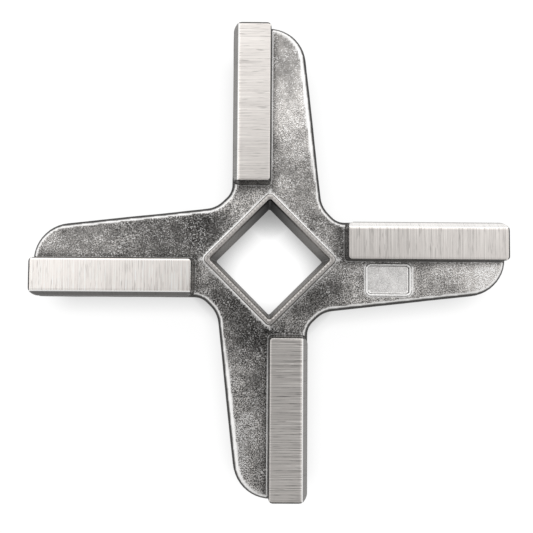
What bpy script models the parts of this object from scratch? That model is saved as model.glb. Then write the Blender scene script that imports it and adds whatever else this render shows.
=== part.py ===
"""Four-armed meat grinder knife: one steel casting with four ground lands and a square drive hole.

The knife lies on its hub boss with the ground lands up. The origin is on the axis of the drive
hole, at the back of the boss. Arm 0 points along +X, and each arm's land is on its leading side,
which is +Y for arm 0. All sizes are in metres and all angles are in degrees.
"""

import math

import bmesh
import bpy

# Square drive hole and the raised rim round it
HOLE_WIDTH = 0.0140
HOLE_CORNER_RADIUS = 0.0003
HOLE_CHAMFER = 0.0002
RIM_WIDTH = 0.00092
RIM_HEIGHT = 0.0013
RIM_CORNER_RADIUS = 0.0008
RIM_DRAFT = 6.0
RIM_BASE_FILLET = 0.0003

# Hub and the boss on its back, which seats on the feed screw's shoulder
HUB_WALL = 0.00566
BOSS_WALL = 0.0032
BOSS_HEIGHT = 0.0025
BOSS_CORNER_RADIUS = 0.0030
BOSS_DRAFT = 5.0
BOSS_EDGE_RADIUS = 0.0004

# Arms: a web that tapers towards its tip, with a rounded trailing corner
ARM_COUNT = 4
WEB_REACH = 0.0399
WEB_THICKNESS = 0.0068
WEB_TRAIL_AT_TIP = 0.00536
WEB_TAPER = 6.4
WALL_DRAFT = 2.0
FRONT_EDGE_RADIUS = 0.0010
BACK_EDGE_RADIUS = 0.0008
TRAILING_TIP_RADIUS = 0.0064
LEADING_TIP_RADIUS = 0.0014
LEADING_ROOT_RADIUS = 0.0030
TRAILING_ROOT_RADIUS = 0.0045

# Ground lands, one along the leading side of each arm, from its centre line outwards
LAND_GAP = 0.00155
LAND_REACH = 0.0392
LAND_FACE_WIDTH = 0.0053
LAND_HEIGHT = 0.0027
LAND_DRAFT = 3.0
LAND_END_DRAFT = 9.0
LAND_BEVEL_WIDTH = 0.00095
LAND_BEVEL_DEPTH = 0.0010
LAND_BASE_FILLET = 0.00025
LAND_EDGE_BREAK = 0.00012
LAND_END_RADIUS = 0.0003
LAND_TRAILING_TIP_RADIUS = 0.0007
LAND_TRAILING_ROOT_RADIUS = 0.0006
LAND_LEADING_ROOT_RADIUS = 0.0012
LAND_SEAM = 0.00005

# Bare sunk panel with a raised lip, on the web of arm 0 between the land and the trailing edge
PANEL_OFFSET = 0.0037
PANEL_LENGTH = 0.00705
PANEL_MARGIN = 0.0015
PANEL_CORNER_RADIUS = 0.0006
PANEL_DEPTH = 0.00035
PANEL_DRAFT = 20.0
LIP_WIDTH = 0.00033
LIP_HEIGHT = 0.00014
LIP_DRAFT = 45.0
LIP_GAP = 0.00004

# Facets, and how far one form runs into another before they are joined
ARC_STEP = 7.5
FILLET_STEPS = 5
SMALL_FILLET_STEPS = 3
OVERLAP = 0.0006
FILLET_SINK = 0.00003
SMALLEST_RADIUS = 0.00001
MOST_OF_EDGE = 0.94
SHARP_ANGLE = 32.0

# Heights above the back of the boss
WEB_BACK = BOSS_HEIGHT
WEB_FRONT = WEB_BACK + WEB_THICKNESS
LAND_TOP = WEB_FRONT + LAND_HEIGHT
RIM_TOP = WEB_FRONT + RIM_HEIGHT
WALL_TOP = WEB_FRONT - FRONT_EDGE_RADIUS

STEEL_COLOUR = (0.47, 0.46, 0.45, 1.0)
STEEL_ROUGHNESS = 0.38


def run(height, draft):
    """How far a drafted wall leans out over a height."""
    return height * math.tan(math.radians(draft))


def meet(edge_a, edge_b, inset_a, inset_b):
    """The point where two edges cross, each a (normal angle, distance) moved in by its inset."""
    ax, ay = math.cos(math.radians(edge_a[0])), math.sin(math.radians(edge_a[0]))
    bx, by = math.cos(math.radians(edge_b[0])), math.sin(math.radians(edge_b[0]))
    da, db = edge_a[1] - inset_a, edge_b[1] - inset_b
    cross = ax * by - ay * bx
    return (da * by - db * ay) / cross, (db * ax - da * bx) / cross


def turn_between(edge, following):
    """Angle from one edge to the next: positive round an outside corner, negative in a notch."""
    return (following[0] - edge[0] + 180.0) % 360.0 - 180.0


def fit_corners(edges):
    """Lowers corner radii where the arcs at the two ends of an edge would take more than it has."""
    count = len(edges)
    corners = [meet(edges[i], edges[(i + 1) % count], 0.0, 0.0) for i in range(count)]
    reaches = []
    for i, edge in enumerate(edges):
        half_turn = math.radians(turn_between(edge, edges[(i + 1) % count]) / 2)
        reaches.append(edge[2] * abs(math.tan(half_turn)))
    shares = []
    for i in range(count):
        length = math.dist(corners[i - 1], corners[i]) * MOST_OF_EDGE
        shares.append(min(1.0, length / (reaches[i - 1] + reaches[i])))
    fitted = []
    for i, (angle, far, radius) in enumerate(edges):
        fitted.append((angle, far, radius * min(shares[i], shares[(i + 1) % count])))
    return fitted


def section(edges, insets, z):
    """One level of a form, as points: straight edges joined by arcs.

    Each edge is (angle of its outward normal, distance from the axis, radius of the corner to the
    next edge). Arcs of a level moved in evenly keep their centres, so levels match point by point.
    """
    points = []
    for i, edge in enumerate(edges):
        following = (i + 1) % len(edges)
        turn = turn_between(edge, edges[following])
        inset_here, inset_next = insets[i], insets[following]
        if turn > 0:
            radius = max(edge[2] - (inset_here + inset_next) / 2, SMALLEST_RADIUS)
        else:
            radius = -edge[2] - (inset_here + inset_next) / 2
        cx, cy = meet(edge, edges[following], inset_here + radius, inset_next + radius)
        steps = max(2, round(abs(turn) / ARC_STEP))
        for step in range(steps + 1):
            angle = math.radians(edge[0] + turn * step / steps)
            points.append((cx + radius * math.cos(angle), cy + radius * math.sin(angle), z))
    return points


def loft(edges, levels):
    """A closed solid through levels given bottom up as (z, inset), or (z, [inset of each edge])."""
    mesh = bmesh.new()
    edges = fit_corners(edges)
    rings = []
    for z, inset in levels:
        insets = inset if isinstance(inset, list) else [inset] * len(edges)
        rings.append([mesh.verts.new(point) for point in section(edges, insets, z)])
    for low, high in zip(rings, rings[1:]):
        for i in range(len(low)):
            j = (i + 1) % len(low)
            mesh.faces.new((low[i], low[j], high[j], high[i]))
    mesh.faces.new(list(reversed(rings[0])))
    mesh.faces.new(rings[-1])
    return mesh


def quarter_round(radius, steps):
    """How far a round edge has moved in and risen at each step, from its wall to its face."""
    turns = [math.radians(90.0 * step / steps) for step in range(1, steps + 1)]
    return [(radius * (1 - math.cos(turn)), radius * math.sin(turn)) for turn in turns]


def square_edges(half_width, corner_radius):
    """A square turned so that its corners point along the arms."""
    return [(45.0 + 90.0 * side, half_width, corner_radius) for side in range(4)]


def web_lead():
    """How far the arm's leading wall lies from its centre line: just outside the land's wall."""
    lean = run(LAND_TOP - LAND_BEVEL_DEPTH - WALL_TOP, LAND_DRAFT)
    return LAND_FACE_WIDTH + LAND_BEVEL_WIDTH + lean + LAND_SEAM


def web_trail(along):
    """How far the arm's trailing wall lies from its centre line, at a distance from the axis."""
    return WEB_TRAIL_AT_TIP + (WEB_REACH - along) * math.tan(math.radians(WEB_TAPER))


def land_start():
    """Where the land begins: a gap beyond the rim's corner, which points along the arm."""
    return (HOLE_WIDTH / 2 + RIM_WIDTH) * math.sqrt(2.0) + LAND_GAP


def casting_edges():
    """Outline of the hub and its arms at the top of their side walls."""
    spacing = 360.0 / ARM_COUNT
    trail_far = web_trail(0.0) * math.cos(math.radians(WEB_TAPER))
    lead = (90.0, web_lead(), LEADING_ROOT_RADIUS)
    next_trail = (WEB_TAPER - 90.0 + spacing, trail_far)
    walls_meet = math.hypot(*meet(lead, next_trail, 0.0, 0.0)) / MOST_OF_EDGE
    arm = [
        (WEB_TAPER - 90.0, trail_far, TRAILING_TIP_RADIUS),
        (0.0, WEB_REACH, LEADING_TIP_RADIUS),
        lead,
        (spacing / 2, max(HOLE_WIDTH / 2 + HUB_WALL, walls_meet), TRAILING_ROOT_RADIUS),
    ]
    turns = [spacing * k for k in range(ARM_COUNT)]
    return [(angle + turn, far, radius) for turn in turns for angle, far, radius in arm]


def casting():
    """The hub and webs: drafted walls, round edges on both faces."""
    flare = run(WALL_TOP - WEB_BACK - BACK_EDGE_RADIUS, WALL_DRAFT)
    back_edge = quarter_round(BACK_EDGE_RADIUS, SMALL_FILLET_STEPS)
    levels = [(WEB_BACK + BACK_EDGE_RADIUS - rise, move - flare) for move, rise in reversed(back_edge)]
    levels.append((WEB_BACK + BACK_EDGE_RADIUS, -flare))
    levels.append((WALL_TOP, 0.0))
    levels += [(WALL_TOP + rise, move) for move, rise in quarter_round(FRONT_EDGE_RADIUS, FILLET_STEPS)]
    return loft(casting_edges(), levels)


def land():
    """Arm 0's land: a bar with a flat top, a bevelled leading edge and a fillet at its foot."""
    lead = LAND_FACE_WIDTH + LAND_BEVEL_WIDTH - run(LAND_BEVEL_DEPTH, LAND_DRAFT)
    edges = [
        (-90.0, 0.0, LAND_TRAILING_TIP_RADIUS),
        (0.0, LAND_REACH, LEADING_TIP_RADIUS),
        (90.0, lead, LAND_LEADING_ROOT_RADIUS),
        (180.0, -land_start(), LAND_TRAILING_ROOT_RADIUS),
    ]

    def insets(z, foot=0.0, share=0.0):
        lean = -run(LAND_TOP - z, LAND_DRAFT)
        side = lean - foot + LAND_EDGE_BREAK * share
        return [side, LAND_END_RADIUS * share - run(LAND_TOP - z, LAND_END_DRAFT), lean, side]

    foot_level = WEB_FRONT - FILLET_SINK
    bottom = WALL_TOP - OVERLAP
    levels = [(bottom, insets(bottom, LAND_BASE_FILLET))]
    levels.append((foot_level, insets(foot_level, LAND_BASE_FILLET)))
    for move, rise in reversed(quarter_round(LAND_BASE_FILLET, SMALL_FILLET_STEPS)):
        z = foot_level + LAND_BASE_FILLET - rise
        if z > foot_level:
            levels.append((z, insets(z, move)))
    z = foot_level + LAND_BASE_FILLET
    levels.append((z, insets(z)))
    levels.append((LAND_TOP - LAND_END_RADIUS, insets(LAND_TOP - LAND_END_RADIUS)))
    for move, rise in quarter_round(LAND_END_RADIUS, SMALL_FILLET_STEPS):
        z = LAND_TOP - LAND_END_RADIUS + rise
        levels.append((z, insets(z, share=move / LAND_END_RADIUS)))
    mesh = loft(edges, levels)

    slope = (0.0, LAND_BEVEL_DEPTH, LAND_BEVEL_WIDTH)
    start = (0.0, LAND_FACE_WIDTH, LAND_TOP)
    whole = mesh.verts[:] + mesh.edges[:] + mesh.faces[:]
    cut = bmesh.ops.bisect_plane(mesh, geom=whole, plane_co=start, plane_no=slope, clear_outer=True)
    border = [part for part in cut["geom_cut"] if isinstance(part, bmesh.types.BMEdge)]
    bmesh.ops.edgeloop_fill(mesh, edges=border)
    return mesh


def hole_rim():
    """The raised square rim, as a solid block that the hole is cut through later."""
    half = HOLE_WIDTH / 2 + RIM_WIDTH
    foot_level = WEB_FRONT - FILLET_SINK
    wall_foot = foot_level + RIM_BASE_FILLET
    levels = [(WEB_FRONT - OVERLAP, -run(RIM_TOP - foot_level, RIM_DRAFT) - RIM_BASE_FILLET)]
    for move, rise in reversed(quarter_round(RIM_BASE_FILLET, SMALL_FILLET_STEPS)):
        z = wall_foot - rise
        levels.append((z, -run(RIM_TOP - z, RIM_DRAFT) - move))
    levels.append((wall_foot, -run(RIM_TOP - wall_foot, RIM_DRAFT)))
    levels.append((RIM_TOP, 0.0))
    return loft(square_edges(half, RIM_CORNER_RADIUS), levels)


def boss():
    """The boss on the hub's back, a rounded square with a flat seat."""
    half = HOLE_WIDTH / 2 + BOSS_WALL
    flare = run(WEB_BACK - BOSS_EDGE_RADIUS, BOSS_DRAFT)
    edge = quarter_round(BOSS_EDGE_RADIUS, SMALL_FILLET_STEPS)
    levels = [(BOSS_EDGE_RADIUS - rise, move) for move, rise in reversed(edge)]
    levels.append((BOSS_EDGE_RADIUS, 0.0))
    levels.append((WEB_BACK, -flare))
    levels.append((WEB_BACK + OVERLAP, -flare))
    return loft(square_edges(half, BOSS_CORNER_RADIUS), levels)


def hole_cutter():
    """The square drive hole, with a small chamfer at both mouths."""
    edges = square_edges(HOLE_WIDTH / 2, HOLE_CORNER_RADIUS)
    outside = -HOLE_CHAMFER - OVERLAP
    levels = [
        (-OVERLAP, outside),
        (HOLE_CHAMFER, 0.0),
        (RIM_TOP - HOLE_CHAMFER, 0.0),
        (RIM_TOP + OVERLAP, outside),
    ]
    return loft(edges, levels)


def panel_edges(border):
    """The panel's rounded rectangle, grown by a border on every side."""
    near = land_start() + PANEL_OFFSET
    far = near + PANEL_LENGTH
    land_foot = run(LAND_HEIGHT, LAND_DRAFT) + LAND_BASE_FILLET
    lead = land_foot + LIP_GAP + LIP_WIDTH + run(LIP_HEIGHT, LIP_DRAFT)
    trail = web_trail(far) - PANEL_MARGIN
    radius = PANEL_CORNER_RADIUS + border
    return [
        (-90.0, trail + border, radius),
        (0.0, far + border, radius),
        (90.0, border - lead, radius),
        (180.0, border - near, radius),
    ]


def panel_lip():
    """The lip's outside, a low block that stands on the web."""
    lean = run(LIP_HEIGHT, LIP_DRAFT)
    levels = [
        (WEB_FRONT - OVERLAP, -lean),
        (WEB_FRONT - FILLET_SINK, -lean),
        (WEB_FRONT + LIP_HEIGHT / 2, -lean / 4),
        (WEB_FRONT + LIP_HEIGHT, lean),
    ]
    return loft(panel_edges(LIP_WIDTH), levels)


def panel_cutter():
    """The sunk panel inside the lip, with leaning walls."""
    floor = WEB_FRONT - PANEL_DEPTH
    top = WEB_FRONT + LIP_HEIGHT + OVERLAP
    levels = [(floor, run(WEB_FRONT - floor, PANEL_DRAFT)), (top, -run(top - WEB_FRONT, PANEL_DRAFT))]
    return loft(panel_edges(0.0), levels)


def add_object(name, mesh, material=None):
    """Turns a mesh under construction into a named object in the scene."""
    bmesh.ops.recalc_face_normals(mesh, faces=mesh.faces[:])
    data = bpy.data.meshes.new(name)
    mesh.to_mesh(data)
    mesh.free()
    if material:
        data.materials.append(material)
    made = bpy.data.objects.new(name, data)
    bpy.context.scene.collection.objects.link(made)
    return made


def add_guide(name, mesh, turn=0.0):
    """A form that is only joined to the knife or cut from it."""
    guide = add_object(name, mesh)
    guide.rotation_euler.z = math.radians(turn)
    guide.display_type = "WIRE"
    guide.hide_render = True
    return guide


def combine(target, operation, guides):
    """Joins all the guides to the target in one step, or cuts them all from it."""
    group = bpy.data.collections.new(operation)
    bpy.context.scene.collection.children.link(group)
    for guide in guides:
        group.objects.link(guide)
    boolean = target.modifiers.new(operation, "BOOLEAN")
    boolean.operation = operation
    boolean.solver = "EXACT"
    boolean.operand_type = "COLLECTION"
    boolean.collection = group


def steel():
    """Cast steel, ground bright on the lands."""
    material = bpy.data.materials.new("cast_steel")
    material.use_nodes = True
    shader = material.node_tree.nodes["Principled BSDF"]
    shader.inputs["Base Color"].default_value = STEEL_COLOUR
    shader.inputs["Metallic"].default_value = 1.0
    shader.inputs["Roughness"].default_value = STEEL_ROUGHNESS
    return material


def shade(knife):
    """Applies the joins and cuts, and shades the round edges smooth."""
    graph = bpy.context.evaluated_depsgraph_get()
    data = bpy.data.meshes.new_from_object(knife.evaluated_get(graph), depsgraph=graph)
    knife.modifiers.clear()
    knife.data = data
    data.shade_smooth()
    data.set_sharp_from_angle(angle=math.radians(SHARP_ANGLE))


def build():
    for old in list(bpy.data.objects):
        bpy.data.objects.remove(old)
    knife = add_object("grinder_knife", casting(), steel())
    spacing = 360.0 / ARM_COUNT
    lands = [add_guide(f"land_form_{k}", land(), spacing * k) for k in range(ARM_COUNT)]
    joined = lands + [
        add_guide("rim_form", hole_rim()),
        add_guide("boss_form", boss()),
        add_guide("panel_lip_form", panel_lip()),
    ]
    cut = [
        add_guide("drive_hole_form", hole_cutter()),
        add_guide("panel_form", panel_cutter()),
    ]
    combine(knife, "UNION", joined)
    combine(knife, "DIFFERENCE", cut)
    shade(knife)


build()
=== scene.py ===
import math

import bmesh
import bpy
from mathutils import Matrix, Vector, noise


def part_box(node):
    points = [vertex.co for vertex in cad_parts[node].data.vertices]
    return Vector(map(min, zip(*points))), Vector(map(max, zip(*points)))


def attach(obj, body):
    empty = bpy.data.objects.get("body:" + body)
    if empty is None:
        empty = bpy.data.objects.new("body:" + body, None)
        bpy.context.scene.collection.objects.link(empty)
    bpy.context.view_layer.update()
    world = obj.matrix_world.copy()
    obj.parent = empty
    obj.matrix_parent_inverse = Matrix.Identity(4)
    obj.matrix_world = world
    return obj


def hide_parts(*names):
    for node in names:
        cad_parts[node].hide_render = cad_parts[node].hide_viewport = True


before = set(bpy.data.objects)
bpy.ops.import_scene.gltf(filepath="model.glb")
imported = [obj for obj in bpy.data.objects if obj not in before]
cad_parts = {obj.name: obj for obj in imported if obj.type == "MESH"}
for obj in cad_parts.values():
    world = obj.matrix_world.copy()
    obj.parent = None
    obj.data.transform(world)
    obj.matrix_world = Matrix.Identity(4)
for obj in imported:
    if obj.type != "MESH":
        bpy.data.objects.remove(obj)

# Sizes of the knife, in metres
HOLE_HALF_DIAGONAL = 0.0099      # middle of the square drive hole to its corner
HOLE_CHAMFER_REACH = 0.0003      # the chamfers at the two mouths of the hole
RIM_HALF_DIAGONAL = 0.0118       # foot of the raised rim round the hole
RIM_WALL_REACH = 0.0005          # how far past it the rim's wall may still lie
WEB_FRONT = 0.0093               # front face of the cast web
WALL_FOOT = 0.0003               # small fillet at the foot of rim and lands
LAND_FOOT = 0.0003               # its reach beside a land
LAND_FROM = 0.0126               # where a land starts, out along its arm
LAND_TO = 0.0395                 # and where it ends
LAND_SIDES = (-0.0004, 0.0066)   # a land's two sides, across its arm
GROUND_FROM = 0.01098            # lowest height that the grinding wheel reaches
PANEL_ALONG = (0.01645, 0.0235)  # sunk panel, along arm 0 and across it
PANEL_ACROSS = (-0.0057, -0.0009)
PANEL_LIP = 0.0006               # reach of the raised lip round the panel
PANEL_LIP_FROM = 0.00008         # the lip is rubbed and painted with a highlight above this height over the web
RIM_TOP = 0.0106
RIM_TOP_FROM = 0.0008            # the rim's outer edge lies further than this out from the hole
RIM_EDGE_BREAK = 0.00010
RIM_FOOT = 0.01170               # where the fillet round the rim runs out, on the diagonal
CLOSE = 0.00001                  # slack when two heights are compared

# Finish of the surfaces, in metres and degrees
WELD = 1e-6
GRID = 0.00045                   # the small faces' size in the plan
GRID_UP = 0.0008                 # and upwards
SLIVER = 0.000012                # points nearer than this are joined
FLAT_ANGLE = 0.3
SHARP_ANGLE = 34
SWELL = 0.000045                 # broad swell of the cast skin
SWELL_LENGTH = 0.0055
RIPPLE = 0.000014                # finer ripple of the cast skin
RIPPLE_LENGTH = 0.0016
RIPPLE_START = (7, 3, 5)         # keeps the ripple from following the swell
SWELL_BY_RIM = (-0.0012, 0.0004)     # where the swell starts, out from the rim's foot
SWELL_OVER_WEB = (0.0004, 0.0013)    # where it ends, over the web
SWELL_OVER_BACK = (0.0001, 0.0006)   # where it starts, over the boss's back

# How far a surface may lean and still count, as its normal's share along an axis
LEVEL_LEAN = 0.98
LAND_EDGE_LEAN = 0.87            # the land with its broken long edges
LAND_FLAT_LEAN = 0.995           # the land without them
PANEL_LEAN = 0.8
INNER_WALL_LEAN = -0.5
RIM_EDGE_ANGLE = 0.8             # radians
STEEP_LEANS = (0.82, 0.95)       # fully steep below the first and not at all above the second
HIGHLIGHT_LEANS = (0.94, 0.992)     # the same, for the edges that are rubbed and painted bright as a highlight
FLAT_WEB_LEAN = 0.9995           # what is flatter than this has no wide rubbed and highlit edge

# Patches of the cast skin, partly uneven tone and partly painted shade, darkest round the hub and
# rim, and painted light further out: place in the plan, reach, and how much lighter than the rest the
# middle is, or darker where that is below 0
SKIN_TONE_AND_SHADE_PATCHES = (
    (-0.0115, 0.0060, 0.0055, -0.84),
    (-0.0190, 0.0045, 0.0080, -0.64),
    (-0.0310, 0.0045, 0.0090, -0.36),
    (-0.0060, -0.0070, 0.0040, -0.72),
    (-0.0030, -0.0120, 0.0050, -0.80),
    (-0.0025, -0.0205, 0.0065, -0.25),
    (0.0055, -0.0070, 0.0040, -0.60),
    (0.0115, -0.0050, 0.0035, -0.45),
    (0.0060, 0.0085, 0.0040, -0.28),
    (0.0045, 0.0160, 0.0050, -0.36),
    (0.0050, 0.0240, 0.0055, 0.50),
    (0.0028, 0.0360, 0.0045, -0.24),
    (0.0280, -0.0030, 0.0060, 0.10),
    (0.0365, -0.0025, 0.0060, 0.90),
    (0.0082, 0.0060, 0.0026, -0.35),
    (-0.0052, 0.0095, 0.0025, 0.30),
    (-0.0095, -0.0052, 0.0026, -0.42),
    (0.0052, -0.0095, 0.0020, -0.38),
    (0.0092, -0.0052, 0.0022, -0.48),
    (0.0300, -0.0035, 0.0028, -0.30),
    (-0.0062, -0.0260, 0.0070, 0.40),
    (-0.0045, -0.0350, 0.0040, 0.35),
)

# Where the blasted grain shows less than elsewhere, or more where that is below 0
CALM_PATCHES = (
    (0.0035, 0.0340, 0.0100, 0.75),
    (0.0060, 0.0120, 0.0070, 0.25),
    (-0.0340, 0.0030, 0.0090, 0.20),
    (0.0360, -0.0030, 0.0080, 0.30),
    (-0.0040, -0.0230, 0.0220, -0.40),
)
CALM = 0.22

# How brightly the hub rim's foot and wall are rubbed and painted with a highlight: on the near right
# side, where it is painted dimmer as in shade, then elsewhere
RIM_FOOT_HIGHLIGHT = (0.3, 0.9)
RIM_WALL_HIGHLIGHT = (0.35, 1)

# The far and the near arm are rubbed more, and painted with wider highlights, along their trailing
# sides than the others
WORN_HIGHLIT_ARMS = (1, 3)
WIDE_HIGHLIGHT_ALONG = (0.012, 0.020)  # where the wide rubbed and highlit edge starts, out along the arm
LAND_WALL_HIGHLIGHT = 0.3           # how bright the trailing walls of their lands are rubbed and painted as a highlight
LAND_WALL_STEEP = 0.4            # and how much of the walls' dark scale they keep

# The wall at each land's inner end, which keeps its cast skin
INNER_WALL_SHADES = (0.30, 0.55, 0.80, 0.55)  # its tone on each arm, painted lighter or darker as light and shade fall on each
INNER_LIPS = (0.0115, 0.0107, 0.0115, 0.0115)  # height above which it is dark
INNER_LIP_BLUR = 0.0002
INNER_LIP_DEPTH = 0.7
INNER_CALM = 0.60
INNER_START = 0.0002             # how far before the land it starts, and over the web

# Painted shade on the skin at a land's inner end, where shade falls at its foot: its reach for each
# arm, from the arm with the panel round.
# Then its reach and depth beside the land, and a softer, wider band of painted shade along the
# trailing side
INNER_SHADES = (0.0021, 0.0016, 0.0009, 0.0014)
SIDE_SHADE = 0.00030
FOOT_DEPTH = 0.35
SHADE_BAND_REACHES = (0.0010, 0.0010, 0.0010, 0.0024)
SHADE_BAND_DEPTHS = (0.35, 0.35, 0.25, 0.50)
DARK_OUTLINE_HEIGHT = 0.0088       # painted shade: a dark outline lies just under the rubbed edge, darker than the walls' scale
DARK_OUTLINE_REACH = 0.0008
DARK_OUTLINE_DEPTH = 0.78
DARK_OUTLINE_TO = 0.0001           # how far under the web's front it stops

# How bright each arm's land and its bevel are painted, as light and shade by the way each faces, from
# the arm with the panel round
LAND_LIGHT_TONES = (0.91, 0.84, 1.21, 0.87)
# the lands' broken long edges get a painted highlight
LAND_EDGE_HIGHLIGHT = 1.35
LAND_BITES = (0.70, 0.62, 0.55, 1.0)  # how deep each land's grinding streaks are
ARM_SHIFT = 0.1                  # keeps one arm's grinding pattern from repeating on the next
BEVEL_LIGHT_TONES = (1.0, 0.32, 0.16, 0.30)
BEVEL_TOP_HIGHLIGHT = (0.00542, 0.00554)  # where the painted highlight along a bevel's top fades, across the arm
BEVEL_FOOT_SHADE = (0.00604, 0.00618)  # where painted shade darkens the bevel's foot
HOLE_LIGHT_TONES = (0.1, 2.15)         # painted light and shade on the hole's walls: dark at the far corner, light at the near one
HOLE_FAR_FROM = 0.002            # where they begin to darken towards the far corner
HOLE_CORNER_SHADE = (0.0080, 0.0098, 0.45)  # where painted shade darkens its corners, and how much

# Light of the studio, 1 being white: brightness by height in the sky (0 horizon, 1 overhead),
# how much of it each side gets, and the heights between which the sides begin to differ
SKY_HEIGHTS = (
    (0.0, 0.72), (0.05, 0.72), (0.25, 1.25), (0.60, 1.35), (0.86, 1.10), (0.945, 0.95),
    (0.990, 0.35),
)
SIDE_SHARES = {"near": 0.45, "far": 1.15, "left": 1.25, "right": 1.10}
SIDES_FROM = (0.05, 0.40)
FLOOR_SIZE = 1.5
FLOOR_DROP = 0.00002
FLOOR_FADE = (0.075, 0.30, 1.0, 0.72)  # from and to where it falls into shade, and its levels
FLOOR_STRENGTH = 1.04
FLOOR_SHARE = 0.90               # share of the floor's white that is its own and not lit
SHADOW_LEAN = (0, 0.75, 0.66)    # the way that the floor's shade is looked for
SHADOW_REACH = 0.0050
SHADOW_SAMPLES = 16
HOLE_FLOOR_LIGHT = (0.0045, 0.0130, 1.20)  # painted light: the floor is lighter in the middle of the hole

# Camera, in metres, degrees and the picture's own pixels
CAMERA_PLACE = (-0.000957, -0.003965, 0.089396)
CAMERA_TURNS = (("Z", -0.38), ("X", -1.99), ("Y", 0.30))
FOCAL_PIXELS = 477.4
PICTURE_PIXELS = 533
SENSOR_MM = 36


def slice_apart(bm, faces, axis, low, high, step):
    """Cuts faces at every step along an axis, halving the run each time so that each cut is short."""
    if high - low < 2 or not faces:
        return
    middle = (low + high) // 2
    place, normal = Vector(), Vector()
    place[axis], normal[axis] = middle * step, 1
    edges = dict.fromkeys(e for f in faces for e in f.edges)  # keeps their order, as a set doesn't
    verts = dict.fromkeys(v for f in faces for v in f.verts)
    made = bmesh.ops.bisect_plane(
        bm, geom=[*verts, *edges, *faces], dist=WELD, plane_co=place, plane_no=normal
    )
    below, above = [], []
    for f in made["geom"]:
        if isinstance(f, bmesh.types.BMFace):
            side = below if f.calc_center_median()[axis] < place[axis] else above
            side.append(f)
    slice_apart(bm, below, axis, low, middle, step)
    slice_apart(bm, above, axis, middle, high, step)


def smooth_step(value, start, end):
    t = min(max((value - start) / (end - start), 0), 1)
    return t * t * (3 - 2 * t)


def along_arm(point):
    """The arm that a point lies on, and its distance along that arm and across it."""
    arm = round(math.atan2(point.y, point.x) / (math.pi / 2)) % 4
    turned = Matrix.Rotation(-arm * math.pi / 2, 3, "Z") @ Vector((point.x, point.y, 0))
    return arm, turned.x, turned.y


def on_land(along, across, margin):
    """Whether a point lies over its arm's land, or within margin of it."""
    return (
        LAND_FROM - margin < along < LAND_TO + margin
        and LAND_SIDES[0] - margin < across < LAND_SIDES[1] + margin
    )


def in_panel(arm, along, across, margin):
    """Whether a point lies over the sunk panel, or within margin of it."""
    return (
        arm == 0
        and PANEL_ALONG[0] - margin < along < PANEL_ALONG[1] + margin
        and PANEL_ACROSS[0] - margin < across < PANEL_ACROSS[1] + margin
    )


def is_inner_wall(along, height):
    """Whether a place is on a land's inner end wall, which keeps its cast skin."""
    near = LAND_FROM - INNER_START < along < LAND_FROM + LAND_FOOT
    return near and height > WEB_FRONT + INNER_START


def cast_share(point):
    """How much of the cast skin's swell a point takes: none where the knife is machined."""
    diamond = abs(point.x) + abs(point.y)
    share = smooth_step(diamond, *(RIM_HALF_DIAGONAL + reach for reach in SWELL_BY_RIM))
    share *= 1 - smooth_step(point.z, *(WEB_FRONT + height for height in SWELL_OVER_WEB))
    return share * smooth_step(point.z, *SWELL_OVER_BACK)


def zone_of(face):
    """Which finish a face has, and which arm it lies on."""
    middle = face.calc_center_median()
    diamond = abs(middle.x) + abs(middle.y)
    arm, along, across = along_arm(middle)
    if diamond < HOLE_HALF_DIAGONAL + HOLE_CHAMFER_REACH and face.normal.z < LEVEL_LEAN:
        return "drive_hole", arm
    if diamond < RIM_HALF_DIAGONAL and middle.z > WEB_FRONT + WALL_FOOT:
        return ("hub_rim" if face.normal.z > LEVEL_LEAN else "raw_wall"), arm
    turned = Matrix.Rotation(-arm * math.pi / 2, 3, "Z") @ face.normal
    if is_inner_wall(along, middle.z) and turned.x < INNER_WALL_LEAN:
        return "cast_web", arm
    if on_land(along, across, 0) and middle.z > GROUND_FROM:
        sideways = abs(turned.y) > abs(turned.x)
        if face.normal.z > (LAND_EDGE_LEAN if sideways else LEVEL_LEAN):
            return "ground_land", arm
        return ("ground_bevel" if sideways and turned.y > 0 else "raw_wall"), arm
    if on_land(along, across, LAND_FOOT) and middle.z > WEB_FRONT + WALL_FOOT:
        return "raw_wall", arm
    facing = face.normal.z > PANEL_LEAN
    if in_panel(arm, along, across, 0) and facing and middle.z < WEB_FRONT:
        return "sunk_panel", arm
    return "cast_web", arm


def is_rim_edge(edge):
    """Whether an edge is the outer top edge of the raised rim."""
    level = all(abs(v.co.z - RIM_TOP) < 2 * CLOSE for v in edge.verts)
    inside = HOLE_HALF_DIAGONAL + RIM_TOP_FROM
    outer = all(abs(v.co.x) + abs(v.co.y) > inside for v in edge.verts)
    return level and outer and edge.calc_face_angle(0) > RIM_EDGE_ANGLE


def knife_shape(node):
    """The knife's own shape, cut into small faces."""
    bm = bmesh.new()
    bm.from_mesh(node.data)
    bmesh.ops.remove_doubles(bm, verts=bm.verts, dist=WELD)
    bmesh.ops.dissolve_limit(
        bm, angle_limit=math.radians(FLAT_ANGLE), verts=bm.verts, edges=bm.edges
    )
    rim_edges = [e for e in bm.edges if is_rim_edge(e)]
    bmesh.ops.bevel(
        bm,
        geom=rim_edges,
        offset=RIM_EDGE_BREAK,
        segments=2,
        profile=0.5,
        affect="EDGES",
        material=-1,
    )
    low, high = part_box(node.name)
    for axis, step in ((0, GRID), (1, GRID), (2, GRID_UP)):
        first, last = math.floor(low[axis] / step), math.ceil(high[axis] / step)
        slice_apart(bm, list(bm.faces), axis, first, last, step)
    bmesh.ops.remove_doubles(bm, verts=bm.verts, dist=SLIVER)
    bmesh.ops.triangulate(bm, faces=bm.faces)
    bm.normal_update()
    return bm


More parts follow.
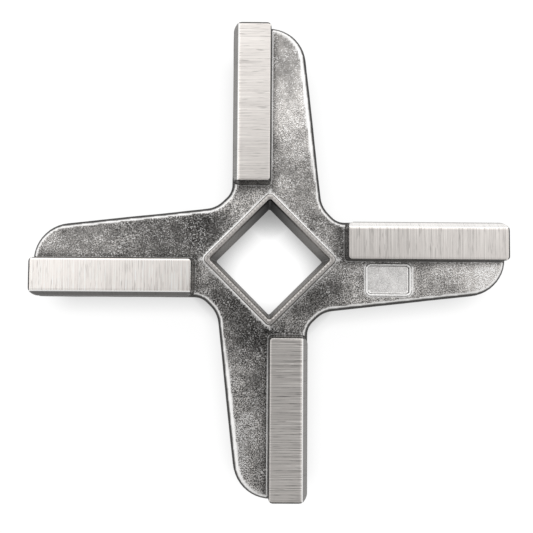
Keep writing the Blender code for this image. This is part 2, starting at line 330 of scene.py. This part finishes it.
def add_swell(bm):
    """Moves the cast skin in and out a little, as a casting's surface does."""
    moves = []
    for v in bm.verts:
        share = cast_share(v.co)
        if share > 0:
            swell = noise.noise(v.co / SWELL_LENGTH) * SWELL
            swell += noise.noise(v.co / RIPPLE_LENGTH + Vector(RIPPLE_START)) * RIPPLE
            moves.append((v, v.normal * swell * share))
    for v, move in moves:
        v.co += move
    bm.normal_update()


def foot_shade(arm, along, across):
    """How much painted shade darkens the cast skin towards a land's foot."""
    before = max(LAND_FROM - along, 0) / INNER_SHADES[arm]
    beside = max(LAND_SIDES[0] - across, across - LAND_SIDES[1], 0)
    close = FOOT_DEPTH * math.exp(-before * before - (beside / SIDE_SHADE) ** 2)
    band = SHADE_BAND_DEPTHS[arm] * math.exp(-before * before - (beside / SHADE_BAND_REACHES[arm]) ** 2)
    return (1 - close) * (1 - band)


def wide_wear_highlight(vert):
    """How far a leaning point belongs to the trailing edges that are rubbed and painted with the
    widest highlight.
    """
    arm, along, across = along_arm(vert.co)
    if arm not in WORN_HIGHLIT_ARMS or across >= 0:
        return 0
    sideways = abs(vert.normal.x) / math.hypot(vert.normal.x, vert.normal.y)
    return sideways * smooth_step(along, *WIDE_HIGHLIGHT_ALONG)


def patch_changes(point, patches):
    """How much each of the patches changes the skin at a point: all of it in the patch's middle."""
    for x, y, reach, change in patches:
        away = math.hypot(point.x - x, point.y - y) / reach
        yield change * math.exp(-away * away)


def wear_and_light_of(vert):
    """How rubbed and painted bright as a highlight a point of the casting is, how steep its wall, its
    skin's tone with painted light and shade, and its calm.
    """
    lean = vert.normal.z
    arm, along, across = along_arm(vert.co)
    steep = 1 - smooth_step(abs(lean), *STEEP_LEANS)
    rubbed_highlight = 0
    diamond = abs(vert.co.x) + abs(vert.co.y)
    side = 0 if vert.co.x > 0 > vert.co.y else 1
    if lean > 0 and vert.co.z < WEB_FRONT + CLOSE:
        rubbed_highlight = 1 - smooth_step(lean, *HIGHLIGHT_LEANS)
        if lean < FLAT_WEB_LEAN:
            rubbed_highlight = max(rubbed_highlight, wide_wear_highlight(vert))
        if diamond < RIM_FOOT:
            rubbed_highlight = RIM_FOOT_HIGHLIGHT[side]
    elif lean > 0 and diamond < RIM_HALF_DIAGONAL + RIM_WALL_REACH:
        rubbed_highlight, steep = RIM_WALL_HIGHLIGHT[side], 0
    elif lean > 0 and arm in WORN_HIGHLIT_ARMS and across < 0 and on_land(along, across, 2 * LAND_FOOT):
        rubbed_highlight, steep = LAND_WALL_HIGHLIGHT, LAND_WALL_STEEP * steep
    if in_panel(arm, along, across, PANEL_LIP) and vert.co.z > WEB_FRONT + PANEL_LIP_FROM:
        rubbed_highlight, steep = 1, 0
    tone, calm = 1, CALM
    if is_inner_wall(along, vert.co.z) and abs(across) < LAND_SIDES[1] + LAND_FOOT:
        rubbed_highlight, steep, calm = 0, 0, INNER_CALM
        low, high = INNER_LIPS[arm] - INNER_LIP_BLUR, INNER_LIPS[arm] + INNER_LIP_BLUR
        tone = INNER_WALL_SHADES[arm] * (1 - INNER_LIP_DEPTH * smooth_step(vert.co.z, low, high))
    elif vert.co.z > WEB_FRONT - DARK_OUTLINE_TO:
        # painted shade and light from the patches, and painted shade towards the lands' feet
        for change in patch_changes(vert.co, SKIN_TONE_AND_SHADE_PATCHES):
            tone *= 1 + change
        tone *= foot_shade(arm, along, across)
    else:
        # painted shade: a dark outline on the wall just under the rubbed edge
        edge = (vert.co.z - DARK_OUTLINE_HEIGHT) / DARK_OUTLINE_REACH
        tone *= 1 - DARK_OUTLINE_DEPTH * math.exp(-edge * edge)
    for change in patch_changes(vert.co, CALM_PATCHES):
        calm += change
    return rubbed_highlight, steep, tone, min(max(calm, 0), 1)


def side_of_rim(face):
    """Which of the hub rim's four sides a face lies on, from the one between arms 0 and 1."""
    middle = face.calc_center_median()
    return math.floor(math.atan2(middle.y, middle.x) / (math.pi / 2)) % 4


def painted_light_of(zone, arm, lean, point):
    """Painted light and shade on a machined face: by arm on lands and bevels, with a highlight on the
    lands' broken edges, and by place in the hole.
    """
    if zone == "ground_land":
        return LAND_LIGHT_TONES[arm] * (LAND_EDGE_HIGHLIGHT if lean < LAND_FLAT_LEAN else 1)
    if zone == "ground_bevel":
        return BEVEL_LIGHT_TONES[arm]
    if zone == "drive_hole":
        far = smooth_step(point.y, HOLE_FAR_FROM, HOLE_HALF_DIAGONAL)
        start, end, depth = HOLE_CORNER_SHADE
        corner = smooth_step(max(abs(point.x), abs(point.y)), start, end) * depth
        return (HOLE_LIGHT_TONES[0] * far + HOLE_LIGHT_TONES[1] * (1 - far)) * (1 - corner)
    return 1


def new_material(name):
    material = bpy.data.materials.new(name)
    material.use_nodes = True
    nodes, links = material.node_tree.nodes, material.node_tree.links
    return material, nodes, links, nodes["Principled BSDF"]


def add_node(nodes, kind, **values):
    """A node with its settings, and its inputs by name."""
    made = nodes.new(kind)
    for key, value in values.items():
        if key in made.inputs:
            made.inputs[key].default_value = value
        else:
            setattr(made, key, value)
    return made


def grain(nodes, links, size, detail=2.0, roughness=0.5, stretch=(1, 1, 1), source="Object"):
    """Noise whose lumps are size metres across, read from the knife's own coordinates."""
    if source == "Object":
        place = nodes.new("ShaderNodeTexCoord").outputs["Object"]
    else:
        place = add_node(nodes, "ShaderNodeUVMap", uv_map=source).outputs["UV"]
    mapping = nodes.new("ShaderNodeMapping")
    mapping.inputs["Scale"].default_value = [s / size for s in stretch]
    made = nodes.new("ShaderNodeTexNoise")
    made.inputs["Scale"].default_value = 1
    made.inputs["Detail"].default_value = detail
    made.inputs["Roughness"].default_value = roughness
    links.new(place, mapping.inputs["Vector"])
    links.new(mapping.outputs["Vector"], made.inputs["Vector"])
    return made.outputs["Fac"]


def ramp(nodes, links, fac, *stops):
    """A colour ramp with (place, grey or colour) stops."""
    made = nodes.new("ShaderNodeValToRGB")
    elements = made.color_ramp.elements
    while len(elements) < len(stops):
        elements.new(0.5)
    for element, (place, colour) in zip(elements, stops):
        element.position = place
        rgb = colour if isinstance(colour, tuple) else (colour, colour, colour)
        element.color = (*rgb, 1)
    links.new(fac, made.inputs["Fac"])
    return made.outputs["Color"]


def blend(nodes, links, kind, fac, first, second):
    """Two colours put together, fac being a number or an output."""
    made = nodes.new("ShaderNodeMix")
    made.data_type, made.blend_type = "RGBA", kind
    for socket, value in ((0, fac), (6, first), (7, second)):
        if isinstance(value, bpy.types.NodeSocket):
            links.new(value, made.inputs[socket])
        elif socket == 0:
            made.inputs[0].default_value = value
        else:
            made.inputs[socket].default_value = (*value, 1)
    return made.outputs[2]


def fade(nodes, links, value, across, levels, way="SMOOTHSTEP"):
    """A level that moves from the first of levels to the second where value crosses across."""
    made = nodes.new("ShaderNodeMapRange")
    made.interpolation_type = way
    for socket, number in zip(("From Min", "From Max", "To Min", "To Max"), (*across, *levels)):
        made.inputs[socket].default_value = number
    links.new(value, made.inputs["Value"])
    return made.outputs["Result"]


def bump(nodes, links, height, distance, strength=1.0, under=None):
    made = nodes.new("ShaderNodeBump")
    made.inputs["Distance"].default_value = distance
    made.inputs["Strength"].default_value = strength
    links.new(height, made.inputs["Height"])
    if under:
        links.new(under, made.inputs["Normal"])
    return made.outputs["Normal"]


def attribute(nodes, name):
    return add_node(nodes, "ShaderNodeAttribute", attribute_name=name).outputs["Fac"]


def attribute_colour(nodes, name):
    return add_node(nodes, "ShaderNodeAttribute", attribute_name=name).outputs["Color"]


def cast_steel_skin():
    """Blasted casting: fine grain and pits, painted glints, dark walls with painted shade, edges
    rubbed and painted bright as highlights.
    """
    material, nodes, links, shader = new_material("cast_steel_skin")
    specks = grain(nodes, links, 0.00016, 2, 0.6)
    glints = grain(nodes, links, 0.00022, 1, 0.5)
    lumps = grain(nodes, links, 0.0009, 2, 0.5)
    patches = grain(nodes, links, 0.0026, 2, 0.55)
    clouds = grain(nodes, links, 0.008, 3, 0.55)
    rubbed_highlight = attribute(nodes, "rubbed_highlight")
    tone = ramp(nodes, links, clouds, (0.38, (0.35, 0.336, 0.323)), (0.62, (0.50, 0.480, 0.460)))
    worn = blend(nodes, links, "MULTIPLY", 1.0, tone, attribute_colour(nodes, "skin_tone_and_shade"))
    blotches = ramp(nodes, links, patches, (0.35, 0.79), (0.65, 1.16))
    mottle = ramp(nodes, links, lumps, (0.34, 0.84), (0.66, 1.15))
    mottled = blend(nodes, links, "MULTIPLY", 1.0, blotches, mottle)
    uneven = blend(nodes, links, "MULTIPLY", 1.0, worn, mottled)
    fine = ramp(nodes, links, specks, (0.39, 0.04), (0.50, 0.70), (0.61, 2.45))
    even = blend(nodes, links, "MIX", attribute(nodes, "calm"), fine, (0.90, 0.90, 0.90))
    skin = blend(nodes, links, "MULTIPLY", 1.0, uneven, even)
    # painted glints: scattered white points in the base colour, dimmer where the skin is painted dark
    where = ramp(nodes, links, patches, (0.40, 0.30), (0.60, 0.90))
    points = ramp(nodes, links, glints, (0.56, 0.0), (0.65, 1.0))
    few = blend(nodes, links, "MULTIPLY", 1.0, points, where)
    shine = blend(nodes, links, "MULTIPLY", 0.55, few, attribute_colour(nodes, "skin_tone_and_shade"))
    glinting = blend(nodes, links, "MIX", shine, skin, (0.95, 0.94, 0.93))
    # the edges' white is partly rubbed wear and partly a painted highlight
    bright = blend(nodes, links, "MIX", rubbed_highlight, glinting, (0.93, 0.92, 0.91))
    steep = attribute(nodes, "steep")
    scale = ramp(nodes, links, specks, (0.36, (0.10, 0.096, 0.092)), (0.64, (0.26, 0.251, 0.242)))
    wall = blend(nodes, links, "MULTIPLY", 1.0, scale, attribute_colour(nodes, "skin_tone_and_shade"))
    links.new(blend(nodes, links, "MIX", steep, bright, wall), shader.inputs["Base Color"])
    bare = blend(nodes, links, "MIX", rubbed_highlight, (1, 1, 1), (0.3, 0.3, 0.3))
    metal = blend(nodes, links, "MIX", steep, bare, (0.15, 0.15, 0.15))
    links.new(metal, shader.inputs["Metallic"])
    shader.inputs["Specular IOR Level"].default_value = 0.15
    rough = ramp(nodes, links, lumps, (0.3, 0.22), (0.7, 0.34))
    smooth = blend(nodes, links, "MIX", rubbed_highlight, rough, (0.2, 0.2, 0.2))
    dull = blend(nodes, links, "MIX", steep, smooth, (0.5, 0.5, 0.5))
    links.new(dull, shader.inputs["Roughness"])
    fading = add_node(nodes, "ShaderNodeMath", operation="SUBTRACT")
    fading.inputs[0].default_value = 1
    links.new(rubbed_highlight, fading.inputs[1])
    low = bump(nodes, links, lumps, 0.00007, 0.5)
    top = bump(nodes, links, specks, 0.00004, 0.9, low)
    links.new(fading.outputs[0], top.node.inputs["Strength"])
    links.new(top, shader.inputs["Normal"])
    return material


def sunk_panel_skin():
    """The sunk panel's floor: blasted like the web, paler and finer."""
    material, nodes, links, shader = new_material("sunk_panel_steel")
    specks = grain(nodes, links, 0.00019, 2, 0.6)
    lumps = grain(nodes, links, 0.0012, 2, 0.5)
    fine = ramp(nodes, links, specks, (0.36, (0.66, 0.645, 0.63)), (0.64, (1.0, 0.985, 0.97)))
    broad = ramp(nodes, links, lumps, (0.3, 0.88), (0.7, 1.05))
    links.new(blend(nodes, links, "MULTIPLY", 1.0, fine, broad), shader.inputs["Base Color"])
    shader.inputs["Metallic"].default_value = 0.75
    links.new(ramp(nodes, links, lumps, (0.3, 0.26), (0.7, 0.36)), shader.inputs["Roughness"])
    links.new(bump(nodes, links, specks, 0.00002, 0.8), shader.inputs["Normal"])
    return material


def ground_steel(name, colour, spread=0.30, drawn=0.0, depth=0.16, toned_and_lit=False, highlit_top=False):
    """Steel ground with fine streaks, across the arm or along the rim.

    drawn stretches its gloss along the arm, depth is how dark the streaks are, toned_and_lit lets
    each arm have its own painted light and shade, and highlit_top adds a painted highlight at the top
    of a bevel and painted shade at its foot.
    """
    material, nodes, links, shader = new_material(name)
    streaks = grain(nodes, links, 0.00013, 2, 0.65, (1, 0.008, 1), "grind")
    breaks = grain(nodes, links, 0.00060, 2, 0.5, (1, 0.35, 1), "grind")
    scores = grain(nodes, links, 0.00019, 1, 0.5, (1, 0.06, 1), "grind")
    wide = grain(nodes, links, 0.0030, 3, 0.6, (1, 0.12, 1), "grind")
    dark, light = (tuple(min(c * k, 1) for c in colour) for k in (1 - depth, 1 + depth * 0.6))
    fine = ramp(nodes, links, streaks, (0.36, dark), (0.60, light))
    broad = ramp(nodes, links, wide, (0.35, 0.96), (0.65, 1.02))
    deep = ramp(nodes, links, scores, (0.29, 0.66), (0.37, 1.0))
    worn = ramp(nodes, links, breaks, (0.44, 0.0), (0.62, 0.6))
    bitten = blend(nodes, links, "MIX", attribute(nodes, "bite"), colour, fine)
    broken = blend(nodes, links, "MIX", worn, bitten, colour)
    ground = blend(nodes, links, "MULTIPLY", 1.0, broken, broad)
    scored = blend(nodes, links, "MULTIPLY", 1.0, ground, deep)
    if toned_and_lit:
        scored = blend(nodes, links, "MULTIPLY", 1.0, scored, attribute_colour(nodes, "tone"))
    if highlit_top:
        place = nodes.new("ShaderNodeSeparateXYZ")
        links.new(add_node(nodes, "ShaderNodeUVMap", uv_map="grind").outputs["UV"], place.inputs[0])
        # painted highlight along the bevel's top, and painted shade at its foot
        line = fade(nodes, links, place.outputs["Y"], BEVEL_TOP_HIGHLIGHT, (1, 0))
        foot = fade(nodes, links, place.outputs["Y"], BEVEL_FOOT_SHADE, (0, 0.75))
        scored = blend(nodes, links, "MIX", line, scored, (0.92, 0.91, 0.90))
        scored = blend(nodes, links, "MIX", foot, scored, (0.14, 0.135, 0.13))
    links.new(scored, shader.inputs["Base Color"])
    shader.inputs["Metallic"].default_value = 1
    links.new(
        ramp(nodes, links, streaks, (0.3, spread * 0.85), (0.7, spread * 1.15)),
        shader.inputs["Roughness"],
    )
    links.new(bump(nodes, links, streaks, 0.000006, 0.5), shader.inputs["Normal"])
    if drawn:
        shader.inputs["Anisotropic"].default_value = drawn
        tangent = add_node(nodes, "ShaderNodeTangent", direction_type="UV_MAP", uv_map="grind")
        links.new(tangent.outputs[0], shader.inputs["Tangent"])
    return material


def dark_steel(name, colour):
    """Steel with its dark scale left on, in walls that no wheel reaches, and painted light and shade
    in the hole.
    """
    material, nodes, links, shader = new_material(name)
    specks = grain(nodes, links, 0.00022, 3, 0.6)
    dark, light = (tuple(c * k for c in colour) for k in (0.55, 1.45))
    fine = ramp(nodes, links, specks, (0.35, dark), (0.65, light))
    toned_and_lit = blend(nodes, links, "MULTIPLY", 1.0, fine, attribute_colour(nodes, "tone"))
    links.new(toned_and_lit, shader.inputs["Base Color"])
    shader.inputs["Metallic"].default_value = 0.2
    shader.inputs["Specular IOR Level"].default_value = 0.15
    shader.inputs["Roughness"].default_value = 0.55
    links.new(bump(nodes, links, specks, 0.00002, 0.6), shader.inputs["Normal"])
    return material


def finished_knife(node):
    """The whole knife as one piece, with the finish of each of its surfaces."""
    bm = knife_shape(node)
    finishes = {
        "cast_web": cast_steel_skin(),
        "ground_land": ground_steel(
            "ground_land_steel", (0.80, 0.755, 0.722), 0.32, drawn=0.5, depth=0.45, toned_and_lit=True
        ),
        "ground_bevel": ground_steel(
            "ground_bevel_steel", (0.90, 0.88, 0.86), 0.20, depth=0.08, toned_and_lit=True, highlit_top=True
        ),
        "raw_wall": dark_steel("raw_wall_steel", (0.065, 0.062, 0.059)),
        "hub_rim": ground_steel("hub_rim_steel", (0.52, 0.495, 0.475), depth=0.10),
        "drive_hole": dark_steel("drive_hole_steel", (0.085, 0.08, 0.075)),
        "sunk_panel": sunk_panel_skin(),
    }
    order = list(finishes)
    grind = bm.loops.layers.uv.new("grind")
    light_tone_layer = bm.loops.layers.float.new("tone")
    bite_layer = bm.loops.layers.float.new("bite")
    layers = [bm.verts.layers.float.new(name) for name in ("rubbed_highlight", "steep", "skin_tone_and_shade", "calm")]
    for v in bm.verts:
        for layer, value in zip(layers, wear_and_light_of(v)):
            v[layer] = value
    for f in bm.faces:
        zone, arm = zone_of(f)
        f.material_index = order.index(zone)
        f.smooth = True
        turn = side_of_rim(f) + 0.5 if zone == "hub_rim" else arm
        spin = Matrix.Rotation(-turn * math.pi / 2, 3, "Z")
        for loop in f.loops:
            flat = spin @ loop.vert.co
            loop[grind].uv = (flat.x + ARM_SHIFT * turn, flat.y)
            # painted light and shade of the machined faces, by arm and by place
            loop[light_tone_layer] = painted_light_of(zone, arm, f.normal.z, loop.vert.co)
            loop[bite_layer] = LAND_BITES[arm] if zone == "ground_land" else 1
    add_swell(bm)
    mesh = bpy.data.meshes.new("cast_knife")
    bm.to_mesh(mesh)
    bm.free()
    for finish in finishes.values():
        mesh.materials.append(finish)
    mesh.set_sharp_from_angle(angle=math.radians(SHARP_ANGLE))
    knife = bpy.data.objects.new("cast_knife", mesh)
    bpy.context.scene.collection.objects.link(knife)
    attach(knife, "root")
    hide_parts(node.name)


def pale_floor():
    """A white floor that falls into shade away from the knife."""
    bm = bmesh.new()
    bmesh.ops.create_grid(bm, x_segments=8, y_segments=8, size=FLOOR_SIZE)
    mesh = bpy.data.meshes.new("pale_floor")
    bm.to_mesh(mesh)
    bm.free()
    floor = bpy.data.objects.new("pale_floor", mesh)
    floor.location.z = -FLOOR_DROP
    bpy.context.scene.collection.objects.link(floor)
    material, nodes, links, shader = new_material("pale_floor")
    nodes.remove(shader)
    place = nodes.new("ShaderNodeTexCoord").outputs["Object"]
    away = add_node(nodes, "ShaderNodeVectorMath", operation="LENGTH")
    links.new(place, away.inputs[0])
    level = fade(nodes, links, away.outputs["Value"], FLOOR_FADE[:2], FLOOR_FADE[2:])
    # painted light: the floor is lighter in the middle of the hole
    middle = fade(nodes, links, away.outputs["Value"], HOLE_FLOOR_LIGHT[:2], (HOLE_FLOOR_LIGHT[2], 1))
    paper = nodes.new("ShaderNodeBsdfDiffuse")
    links.new(level, paper.inputs["Color"])
    lean = add_node(nodes, "ShaderNodeCombineXYZ", **dict(zip("XYZ", SHADOW_LEAN)))
    closeness = nodes.new("ShaderNodeAmbientOcclusion")
    closeness.samples = SHADOW_SAMPLES
    closeness.inputs["Distance"].default_value = SHADOW_REACH
    links.new(lean.outputs[0], closeness.inputs["Normal"])
    open_air = ramp(nodes, links, closeness.outputs["AO"], (0.2, 0.25), (0.60, 0.74), (0.96, 1.0))
    shaded = blend(nodes, links, "MULTIPLY", 1.0, open_air, level)
    white = nodes.new("ShaderNodeEmission")
    links.new(blend(nodes, links, "MULTIPLY", 1.0, shaded, middle), white.inputs["Color"])
    white.inputs["Strength"].default_value = FLOOR_STRENGTH
    mix = nodes.new("ShaderNodeMixShader")
    mix.inputs["Fac"].default_value = FLOOR_SHARE
    links.new(paper.outputs[0], mix.inputs[1])
    links.new(white.outputs[0], mix.inputs[2])
    links.new(mix.outputs[0], nodes["Material Output"].inputs["Surface"])
    mesh.materials.append(material)


def studio_light():
    """A round tent of light: dark round the camera and at the horizon, dimmer on the near side."""
    world = bpy.data.worlds.new("studio")
    world.use_nodes = True
    nodes, links = world.node_tree.nodes, world.node_tree.links
    back = nodes["Background"]
    way = nodes.new("ShaderNodeTexCoord").outputs["Generated"]
    parts = nodes.new("ShaderNodeSeparateXYZ")
    links.new(way, parts.inputs[0])
    brightest = max(value for _, value in SKY_HEIGHTS)
    sky = ramp(
        nodes, links, parts.outputs["Z"], *((z, value / brightest) for z, value in SKY_HEIGHTS)
    )
    flat = add_node(nodes, "ShaderNodeVectorMath", operation="MULTIPLY")
    flat.inputs[1].default_value = (1, 1, 0)
    unit = add_node(nodes, "ShaderNodeVectorMath", operation="NORMALIZE")
    links.new(way, flat.inputs[0])
    links.new(flat.outputs[0], unit.inputs[0])
    sides = nodes.new("ShaderNodeSeparateXYZ")
    links.new(unit.outputs[0], sides.inputs[0])
    strength = add_node(nodes, "ShaderNodeMath", operation="MULTIPLY")
    ways = (("Y", "near", "far"), ("X", "left", "right"))
    for socket, (axis, low, high) in zip(strength.inputs, ways):
        shares = (SIDE_SHARES[low], SIDE_SHARES[high])
        links.new(fade(nodes, links, sides.outputs[axis], (-1, 1), shares, "LINEAR"), socket)
    raised = fade(nodes, links, parts.outputs["Z"], SIDES_FROM, (1, 1), "LINEAR")
    links.new(strength.outputs[0], raised.node.inputs["To Max"])
    level = add_node(nodes, "ShaderNodeMath", operation="MULTIPLY")
    links.new(raised, level.inputs[0])
    level.inputs[1].default_value = brightest
    links.new(sky, back.inputs["Color"])
    links.new(level.outputs[0], back.inputs["Strength"])
    bpy.context.scene.world = world


def add_camera():
    """The camera straight above the knife, a little to its near side."""
    data = bpy.data.cameras.new("camera")
    data.sensor_width = SENSOR_MM
    data.lens = SENSOR_MM * FOCAL_PIXELS / PICTURE_PIXELS
    data.clip_start, data.clip_end = 0.01, 10
    camera = bpy.data.objects.new("camera", data)
    turn = Matrix.Identity(3)
    for axis, degrees in CAMERA_TURNS:
        turn = turn @ Matrix.Rotation(math.radians(degrees), 3, axis)
    camera.matrix_world = Matrix.Translation(CAMERA_PLACE) @ turn.transposed().to_4x4()
    bpy.context.scene.collection.objects.link(camera)
    bpy.context.scene.camera = camera


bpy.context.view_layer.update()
finished_knife(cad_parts["grinder_knife"])
pale_floor()
studio_light()
add_camera()
bpy.context.scene.view_settings.view_transform = "Standard"
